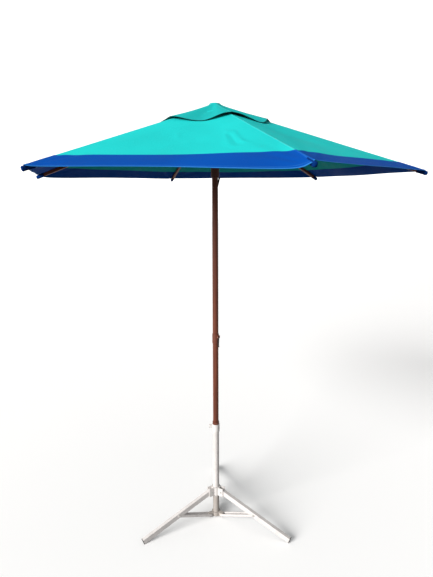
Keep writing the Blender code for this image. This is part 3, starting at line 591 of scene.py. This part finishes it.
def pocket_corner(turn, half_width, half_depth, close, flare):
    """A point of the pocket's rounded section: how far to the side, and how far up."""
    power = POCKET_SQUARENESS
    squareness = 1.0 / (abs(math.cos(turn)) ** power + abs(math.sin(turn)) ** power) ** (1 / power)
    width_share = POCKET_END_WIDTH + (1.0 - POCKET_END_WIDTH) * close
    depth_share = POCKET_END_DEPTH + (1.0 - POCKET_END_DEPTH) * close
    side = math.cos(turn) * squareness * half_width * width_share * flare
    rise = math.sin(turn) * squareness * half_depth * depth_share * flare
    return side, rise


def pocket_shells(number, along, tangent, upward):
    """The pocket's outer and inner rings of points, and where it ends along the rib."""
    points = vertices(f"rib_{number}")
    reach = points @ along
    tip = points[reach > reach.max() - POCKET_TIP_LENGTH]
    end = reach.max() + POCKET_END_SLACK
    half_width = float(np.ptp(tip @ tangent)) / 2.0 + POCKET_SLACK
    lift = tip @ upward
    half_depth = float(np.ptp(lift)) / 2.0 + POCKET_SLACK
    middle = (float(lift.max()) + float(lift.min())) / 2.0
    outer, inner = [], []
    for step in range(POCKET_RINGS + 1):
        share = step / POCKET_RINGS
        back = POCKET_LENGTH * (1.0 - share)
        close = math.sqrt(max(0.0, 1.0 - max(0.0, 1.0 - back / POCKET_ROUNDING) ** 2))
        flare = 1.0 + POCKET_FLARE * (1.0 - smooth_step(share * 4.0))
        pucker = POCKET_PUCKER * math.sin(share * 21.0 + number)
        for shell, inset in ((outer, 0.0), (inner, CLOTH_THICKNESS)):
            ring = []
            for corner in range(POCKET_CORNERS):
                turn = 2.0 * math.pi * corner / POCKET_CORNERS
                side, rise = pocket_corner(turn, half_width - inset, half_depth - inset, close, flare)
                ring.append(
                    along * (end - back - inset * share)
                    + tangent * (side + pucker)
                    + upward * (middle + rise + pucker * math.sin(3.0 * turn))
                )
            shell.append(ring)
    return outer, inner, end


def build_tip_pocket(number, material):
    """The sewn pouch that holds a rib's end: a rounded sock around it, open on the inward side."""
    outward, tangent, vertical = rib_axes(number)
    pitch = math.atan(RIDGE_SLOPE)
    along = outward * math.cos(pitch) - vertical * math.sin(pitch)
    upward = outward * math.sin(pitch) + vertical * math.cos(pitch)
    outer, inner, end = pocket_shells(number, along, tangent, upward)
    data = bpy.data.meshes.new(f"tip_pocket_{number}")
    mesh = bmesh.new()
    uv = mesh.loops.layers.uv.new("cloth")
    shells = [[[mesh.verts.new(p) for p in ring] for ring in shell] for shell in (outer, inner)]

    def face(corner_list):
        made = mesh.faces.new(corner_list)
        made.smooth = True
        for loop in made.loops:
            spot = np.array(loop.vert.co)
            uv_along = CANOPY_TIP[0] - POCKET_UV_INSET + float(spot @ along) - end
            loop[uv].uv = (float(spot @ tangent), uv_along)

    for shell, flip in zip(shells, (1, -1)):
        for first, second in zip(shell, shell[1:]):
            for corner in range(POCKET_CORNERS):
                after = (corner + 1) % POCKET_CORNERS
                face([first[corner], first[after], second[after], second[corner]][::flip])
        face(shell[-1][::flip])
    for corner in range(POCKET_CORNERS):
        after = (corner + 1) % POCKET_CORNERS
        face([shells[0][0][after], shells[0][0][corner], shells[1][0][corner], shells[1][0][after]])
    bmesh.ops.recalc_face_normals(mesh, faces=mesh.faces)
    mesh.to_mesh(data)
    mesh.free()
    data.materials.append(material)
    piece = add_object(f"tip_pocket_{number}", data)
    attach(piece, f"rib_{number}")


# ---------------------------------------------------------------- material helpers


class Graph:
    """Short calls for building a material's nodes."""

    def __init__(self, name):
        self.material = bpy.data.materials.new(name)
        self.material.use_nodes = True
        self.tree = self.material.node_tree
        self.shader = self.tree.nodes["Principled BSDF"]

    def add(self, kind, **settings):
        node = self.tree.nodes.new(kind)
        for key, value in settings.items():
            setattr(node, key, value)
        return node

    def feed(self, socket, value):
        if isinstance(value, bpy.types.NodeSocket):
            self.tree.links.new(value, socket)
        else:
            socket.default_value = value

    def math(self, operation, first, second=0.0, third=0.0):
        node = self.add("ShaderNodeMath", operation=operation)
        for socket, value in zip(node.inputs, (first, second, third)):
            self.feed(socket, value)
        return node.outputs[0]

    def mix(self, share, first, second):
        node = self.add("ShaderNodeMix", data_type="RGBA")
        self.feed(node.inputs["Factor"], share)
        self.feed(node.inputs["A"], rgba(first))
        self.feed(node.inputs["B"], rgba(second))
        return node.outputs["Result"]

    def remap(self, value, low, high, to_low=0.0, to_high=1.0):
        node = self.add("ShaderNodeMapRange", interpolation_type="SMOOTHSTEP")
        for key, item in zip(("From Min", "From Max", "To Min", "To Max"), (low, high, to_low, to_high)):
            node.inputs[key].default_value = item
        self.feed(node.inputs["Value"], value)
        return node.outputs["Result"]

    def noise(self, vector, scale, detail=3.0, roughness=0.5):
        node = self.add("ShaderNodeTexNoise")
        node.inputs["Scale"].default_value = scale
        node.inputs["Detail"].default_value = detail
        node.inputs["Roughness"].default_value = roughness
        self.feed(node.inputs["Vector"], vector)
        return node.outputs["Fac"]

    def object_place(self, scale=(1.0, 1.0, 1.0), turn=(0.0, 0.0, 0.0)):
        """Object coordinates, turned first and then scaled."""
        turned = self.add("ShaderNodeMapping")
        turned.inputs["Rotation"].default_value = turn
        self.feed(turned.inputs["Vector"], self.add("ShaderNodeTexCoord").outputs["Object"])
        scaled = self.add("ShaderNodeMapping")
        scaled.inputs["Scale"].default_value = scale
        self.feed(scaled.inputs["Vector"], turned.outputs["Vector"])
        return scaled.outputs["Vector"]

    def bump(self, height, distance, strength=1.0, normal=None):
        node = self.add("ShaderNodeBump")
        node.inputs["Distance"].default_value = distance
        node.inputs["Strength"].default_value = strength
        self.feed(node.inputs["Height"], height)
        if normal is not None:
            self.feed(node.inputs["Normal"], normal)
        return node.outputs["Normal"]

    def rounded_edges(self, radius):
        node = self.add("ShaderNodeBevel", samples=4)
        node.inputs["Radius"].default_value = radius
        return node.outputs["Normal"]

    def finish(self, **sockets):
        """Sets the shader's sockets by name, with an underscore for each space."""
        for key, value in sockets.items():
            socket = self.shader.inputs[key.replace("_", " ")]
            if isinstance(value, tuple):
                value = rgba(value)
            self.feed(socket, value)
        return self.material


def rgba(colour):
    """A colour with its opacity added. Anything else is passed through."""
    return (*colour, 1.0) if isinstance(colour, tuple) and len(colour) == 3 else colour


# ---------------------------------------------------------------- cloth materials


def weave_height(graph, across, along, pitch):
    """A plain weave: warp and weft threads that pass over and under each other."""
    turns = 2.0 * math.pi / pitch
    warp = graph.math("SINE", graph.math("MULTIPLY", across, turns))
    weft = graph.math("SINE", graph.math("MULTIPLY", along, turns))
    return graph.math("MULTIPLY", warp, weft)


def stitch_mask(graph, distance, along, line_at):
    """1 on the threads of a line of stitches that runs at a distance from a seam, else 0."""
    off = graph.math("ABSOLUTE", graph.math("SUBTRACT", distance, line_at))
    on_line = graph.math("LESS_THAN", off, STITCH_HALF_WIDTH)
    phase = graph.math("FRACT", graph.math("DIVIDE", along, STITCH_PITCH))
    return graph.math("MULTIPLY", on_line, graph.math("LESS_THAN", phase, STITCH_SHARE))


def cloth_material(name, colour, dark_colour, thread, stitches):
    """Woven polyester canopy cloth. stitches gives each line as (what it follows, distance)."""
    graph = Graph(name)
    uv = graph.add("ShaderNodeUVMap", uv_map="cloth").outputs["UV"]
    split = graph.add("ShaderNodeSeparateXYZ")
    graph.feed(split.inputs[0], uv)
    across, along = split.outputs["X"], split.outputs["Y"]
    place = graph.object_place()
    cloudy = graph.noise(place, 5.0, 4.0, 0.55)
    slubs = graph.noise(graph.object_place((900.0, 120.0, 900.0)), 1.0, 2.0)
    shade = graph.math("ADD", graph.math("MULTIPLY", cloudy, 0.7), graph.math("MULTIPLY", slubs, 0.3))
    base = graph.mix(graph.remap(shade, 0.35, 0.68), dark_colour, colour)
    follows = {"ridge": (graph.math("ABSOLUTE", across), along)}
    shift = 10.0  # keeps the distance along a hem above zero
    for key, level in (
        ("band", CANOPY_TIP[0] - BAND_WIDTH),
        ("hem", CANOPY_TIP[0]),
        ("cap_hem", 0.0),
    ):
        gap = graph.math("ABSOLUTE", graph.math("SUBTRACT", along, level))
        follows[key] = (gap, graph.math("ADD", across, shift))
    mask = None
    for kind, line_at in stitches:
        line = stitch_mask(graph, *follows[kind], line_at)
        mask = line if mask is None else graph.math("MAXIMUM", mask, line)
    base = graph.mix(mask, base, thread)
    weave = weave_height(graph, across, along, WEAVE_PITCH)
    height = graph.math("MULTIPLY_ADD", mask, 2.5, graph.math("MULTIPLY", weave, 0.5))
    fine = graph.bump(height, 0.00018, 0.7)
    soft = graph.bump(graph.noise(place, 38.0, 4.0, 0.6), 0.0016, 0.25, fine)
    rough = graph.remap(cloudy, 0.3, 0.7, 0.66, 0.80)
    return graph.finish(
        Base_Color=base,
        Roughness=rough,
        Normal=soft,
        Sheen_Weight=0.05,
        Sheen_Roughness=0.6,
        Sheen_Tint=colour,
        Specular_IOR_Level=0.03,
    )


def canopy_materials():
    """The cloths of the canopy: panel, border, and a lighter blue that paints the highlight along the
    fold of its hem.
    """
    panel = cloth_material(
        "teal_cloth",
        colour=(0.013, 0.505, 0.490),
        dark_colour=(0.010, 0.465, 0.452),
        thread=(0.13, 0.64, 0.62),
        stitches=SEAM_STITCHES,
    )
    border = cloth_material(
        "blue_cloth",
        colour=(0.0010, 0.062, 0.325),
        dark_colour=(0.0010, 0.052, 0.285),
        thread=(0.03, 0.16, 0.44),
        stitches=[*SEAM_STITCHES, ("band", 0.0030), ("band", 0.0075), ("hem", 0.0115)],
    )
    # a lighter blue that paints the highlight along the hem's fold
    painted_hem_lighting = cloth_material(
        "blue_hem_highlight",
        colour=(0.015, 0.150, 0.450),
        dark_colour=(0.011, 0.125, 0.400),
        thread=(0.07, 0.25, 0.55),
        stitches=[("hem", 0.0035)],
    )
    return [panel, border, painted_hem_lighting]


def cap_materials():
    """The cloths of the vent cap: panel, and a dark teal that paints the shadow of the gap under its hem.
    """
    panel = cloth_material(
        "teal_cap_cloth",
        colour=(0.010, 0.395, 0.385),
        dark_colour=(0.008, 0.360, 0.350),
        thread=(0.08, 0.50, 0.48),
        stitches=[*SEAM_STITCHES, ("cap_hem", 0.0085)],
    )
    # a very dark teal that paints the shadow in the gap under the cap's hem
    painted_hem_lighting = cloth_material(
        "cap_hem_shadow",
        colour=(0.003, 0.080, 0.078),
        dark_colour=(0.002, 0.060, 0.058),
        thread=(0.01, 0.16, 0.15),
        stitches=[("cap_hem", 0.0030)],
    )
    return [panel, painted_hem_lighting]


def pocket_material():
    """The dark blue cloth of the tip pockets."""
    return cloth_material(
        "pocket_cloth",
        colour=(0.0008, 0.024, 0.140),
        dark_colour=(0.0007, 0.020, 0.115),
        thread=(0.02, 0.10, 0.30),
        stitches=[("hem", 0.0115)],
    )


# ---------------------------------------------------------------- hard materials


def shaded(colour, share):
    """A colour made darker."""
    return tuple(share * c for c in colour)


def wood_material(name, light, dark, turn=(0.0, 0.0, 0.0)):
    """Stained, varnished wood, with the grain along z once its coordinates are turned."""
    graph = Graph(name)
    grain_place = graph.object_place((55.0, 55.0, 2.2), turn)
    warp = graph.noise(graph.object_place((14.0, 14.0, 1.1), turn), 1.0, 2.0)
    grain = graph.noise(grain_place, 2.4, 6.0, 0.62)
    pores = graph.noise(graph.object_place((620.0, 620.0, 16.0), turn), 1.0, 2.0)
    bands = graph.math("MULTIPLY_ADD", warp, 0.55, graph.math("MULTIPLY", grain, 0.6))
    base = graph.mix(graph.remap(bands, 0.42, 0.72), dark, light)
    pore_share = graph.remap(pores, 0.58, 0.72, 0.0, 0.45)
    base = graph.mix(pore_share, base, shaded(dark, 0.45))
    height = graph.math("SUBTRACT", graph.math("MULTIPLY", grain, 0.5), pore_share)
    edges = graph.rounded_edges(0.0012)
    return graph.finish(
        Base_Color=base,
        Roughness=graph.remap(grain, 0.3, 0.7, 0.46, 0.62),
        Normal=graph.bump(height, 0.00025, 0.5, edges),
        Specular_IOR_Level=0.22,
        Coat_Weight=0.06,
        Coat_Roughness=0.3,
    )


def painted_material(name, colour, roughness, edge_colour, painted_shade_height=0.0):
    """Paint with orange peel, faint grime, wear where edges rub, and painted shade below a height."""
    graph = Graph(name)
    place = graph.object_place()
    peel = graph.noise(place, 900.0, 2.0)
    blotches = graph.noise(place, 24.0, 5.0, 0.6)
    pointy = graph.add("ShaderNodeNewGeometry").outputs["Pointiness"]
    rubbed = graph.remap(graph.noise(place, 70.0, 4.0, 0.7), 0.58, 0.72, 0.0, 0.8)
    worn = graph.math("MULTIPLY", graph.remap(pointy, 0.55, 0.64), rubbed)
    grime = graph.remap(blotches, 0.30, 0.60)
    dull = graph.mix(grime, shaded(colour, 0.88), colour)
    # painted shade: below this height the paint darkens, in blotches, towards a grey-brown
    if painted_shade_height:
        height = graph.add("ShaderNodeSeparateXYZ")
        graph.feed(height.inputs[0], place)
        painted_shade = graph.remap(height.outputs["Z"], painted_shade_height - 0.02, painted_shade_height + 0.006, 0.75, 0.0)
        painted_shade = graph.math("MULTIPLY", painted_shade, graph.remap(blotches, 0.2, 0.6, 0.75, 1.0))
        dull = graph.mix(painted_shade, dull, (0.30, 0.26, 0.225))
    return graph.finish(
        Base_Color=graph.mix(worn, dull, edge_colour),
        Roughness=graph.remap(blotches, 0.3, 0.7, roughness - 0.06, roughness + 0.10),
        Specular_IOR_Level=0.3,
        Normal=graph.bump(peel, 0.00006, 0.35, graph.rounded_edges(0.0010)),
    )


def plastic_material(name, colour, roughness):
    """Moulded plastic with a fine grain."""
    graph = Graph(name)
    place = graph.object_place()
    grain = graph.noise(place, 1500.0, 3.0, 0.6)
    scuffs = graph.noise(graph.object_place((40.0, 40.0, 160.0)), 1.0, 5.0, 0.7)
    scuffed = tuple(min(1.0, 1.5 * c + 0.02) for c in colour)
    base = graph.mix(graph.remap(scuffs, 0.55, 0.75, 0.0, 0.35), colour, scuffed)
    return graph.finish(
        Base_Color=base,
        Roughness=graph.remap(scuffs, 0.3, 0.7, roughness, roughness + 0.15),
        Normal=graph.bump(grain, 0.00008, 0.5, graph.rounded_edges(0.0010)),
    )


def zinc_material(name):
    """Zinc-plated steel with the mottle of its plating."""
    graph = Graph(name)
    place = graph.object_place()
    mottle = graph.noise(place, 260.0, 4.0, 0.6)
    base = graph.mix(graph.remap(mottle, 0.35, 0.65), (0.46, 0.46, 0.44), (0.66, 0.66, 0.63))
    return graph.finish(
        Base_Color=base,
        Roughness=graph.remap(mottle, 0.3, 0.7, 0.24, 0.42),
        Metallic=1.0,
        Normal=graph.rounded_edges(0.0006),
    )


# ---------------------------------------------------------------- dressing the CAD nodes


def dress(prefixes, material):
    """Gives a material to each CAD node whose name starts with one of the prefixes.

    It replaces what an earlier call gave the node.
    """
    for name, node in NODES.items():
        if name.startswith(prefixes):
            node.data.materials.clear()
            node.data.materials.append(material)


def dress_stand():
    """Paint and plastic for the stand. The tube and the spider darken at their foot, below the leg
    collar, with painted shade.
    """
    chipped = (0.34, 0.31, 0.29)
    dress(("leg_", "brace_"), painted_material("white_enamel", (0.62, 0.59, 0.575), 0.40, chipped))
    collar_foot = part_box("leg_collar")[0][2]
    # the tube and the spider take painted shade below the foot of the leg collar
    post = painted_material("white_enamel_painted_shade", (0.60, 0.57, 0.555), 0.40, chipped, collar_foot)
    dress(("base_tube", "spider"), post)
    dress(("socket_",), plastic_material("white_plastic", (0.62, 0.595, 0.58), 0.42))


def dress_frame():
    """Materials for all that the cloth doesn't replace."""
    dress_stand()
    dress(("leg_pin", "brace_pin", "lever_pin", "hinge_wire"), zinc_material("zinc_plate"))
    dark_plastic = plastic_material("dark_plastic", (0.030, 0.029, 0.030), 0.5)
    dress(("tube_plug", "foot_plug", "crown_cap"), dark_plastic)
    brown = painted_material("brown_enamel", (0.115, 0.030, 0.016), 0.46, (0.26, 0.16, 0.12))
    dress(("joint_sleeve", "stop_ring"), brown)
    light, dark = (0.175, 0.046, 0.022), (0.082, 0.020, 0.010)
    dress(("lower_pole", "upper_pole"), wood_material("pole_wood", light, dark))
    turned = wood_material("turned_wood", (0.090, 0.024, 0.013), (0.042, 0.011, 0.006))
    dress(("rib_hub", "runner"), turned)
    black = painted_material("black_enamel", (0.016, 0.008, 0.007), 0.50, (0.12, 0.09, 0.08))
    dress(("clamp_lever", "runner_catch"), black)
    for number in range(1, RIB_COUNT + 1):
        dress_bars(number, light, dark)


def dress_bars(number, light, dark):
    """Wood for one rib and its stretcher, with the grain along each."""
    azimuth = rib_azimuth(number)
    pitch = math.atan(RIDGE_SLOPE)
    for name, lean in ((f"rib_{number}", pitch), (f"stretcher_{number}", -pitch)):
        turn = (0.0, -math.pi / 2.0 - lean, -azimuth)
        wood = wood_material(f"{name}_wood", light, dark, turn)
        NODES[name].data.materials.clear()
        NODES[name].data.materials.append(wood)


# ---------------------------------------------------------------- studio


def build_floor():
    """A pale floor that curves up into a backdrop well behind the object."""
    reach, rise, bend = 30.0, 14.0, 6.0
    profile = [(-reach, 0.0), (reach - bend, 0.0)]
    profile += [
        (reach - bend + bend * math.sin(turn), bend - bend * math.cos(turn))
        for turn in np.linspace(0.0, math.pi / 2.0, 13)[1:]
    ]
    profile.append((reach, rise))
    points = [(x, y, z) for y, z in profile for x in (-reach, reach)]
    faces = [(2 * i, 2 * i + 1, 2 * i + 3, 2 * i + 2) for i in range(len(profile) - 1)]
    data = bpy.data.meshes.new("floor")
    data.from_pydata(points, [], faces)
    data.polygons.foreach_set("use_smooth", [True] * len(faces))
    floor = add_object("floor", data)
    graph = Graph("floor_paper")
    tint = graph.mix(graph.noise(graph.object_place(), 0.6, 2.0), (0.92, 0.92, 0.92), (0.94, 0.94, 0.94))
    data.materials.append(graph.finish(Base_Color=tint, Roughness=0.9, Specular_IOR_Level=0.1))
    floor.visible_diffuse = False  # the sky below the horizon stands in for light off the floor


def build_lights():
    """A broad key light from the front left, and a sky that is brighter above than below."""
    data = bpy.data.lights.new("key", "SUN")
    data.angle = math.radians(KEY_ANGLE)
    data.energy = KEY_ENERGY
    data.color = (1.0, 0.985, 0.965)
    light = add_object("key", data)
    light.rotation_mode = "QUATERNION"
    light.rotation_quaternion = Vector(KEY_DIRECTION).to_track_quat("-Z", "Y")
    world = bpy.data.worlds.new("studio")
    world.use_nodes = True
    nodes, links = world.node_tree.nodes, world.node_tree.links
    place = nodes.new("ShaderNodeTexCoord")
    height = nodes.new("ShaderNodeSeparateXYZ")
    ramp = nodes.new("ShaderNodeMapRange")
    ramp.inputs["From Min"].default_value = -SKY_BLEND
    ramp.inputs["From Max"].default_value = SKY_BLEND
    ramp.inputs["To Min"].default_value = SKY_BELOW
    ramp.inputs["To Max"].default_value = SKY_ABOVE
    links.new(place.outputs["Generated"], height.inputs[0])
    links.new(height.outputs["Z"], ramp.inputs["Value"])
    links.new(ramp.outputs["Result"], nodes["Background"].inputs["Strength"])
    nodes["Background"].inputs["Color"].default_value = (1.0, 1.0, 1.0, 1.0)
    bpy.context.scene.world = world


def build_camera():
    """Just below the height of the canopy's rim, looking a little down along +Y."""
    data = bpy.data.cameras.new("camera")
    data.sensor_width = 36.0
    data.lens = CAMERA_LENS
    data.clip_end = 200.0
    camera = add_object("camera", data)
    camera.location = CAMERA_PLACE
    turns = (90.0 - CAMERA_DOWN, CAMERA_ROLL, CAMERA_YAW)
    camera.rotation_euler = tuple(math.radians(turn) for turn in turns)
    bpy.context.scene.camera = camera
    bpy.context.scene.view_settings.view_transform = "Standard"


# ---------------------------------------------------------------- assembly


def main():
    build_camera()
    build_floor()
    build_lights()
    dress_frame()
    canopy_cloths = canopy_materials()
    cap_cloths = cap_materials()
    pocket_cloth = pocket_material()
    build_crown_patch(cap_cloths[0])
    for number in range(1, RIB_COUNT + 1):
        build_canopy_petal(number, canopy_cloths)
        build_cap_petal(number, cap_cloths)
        build_tip_pocket(number, pocket_cloth)


main()
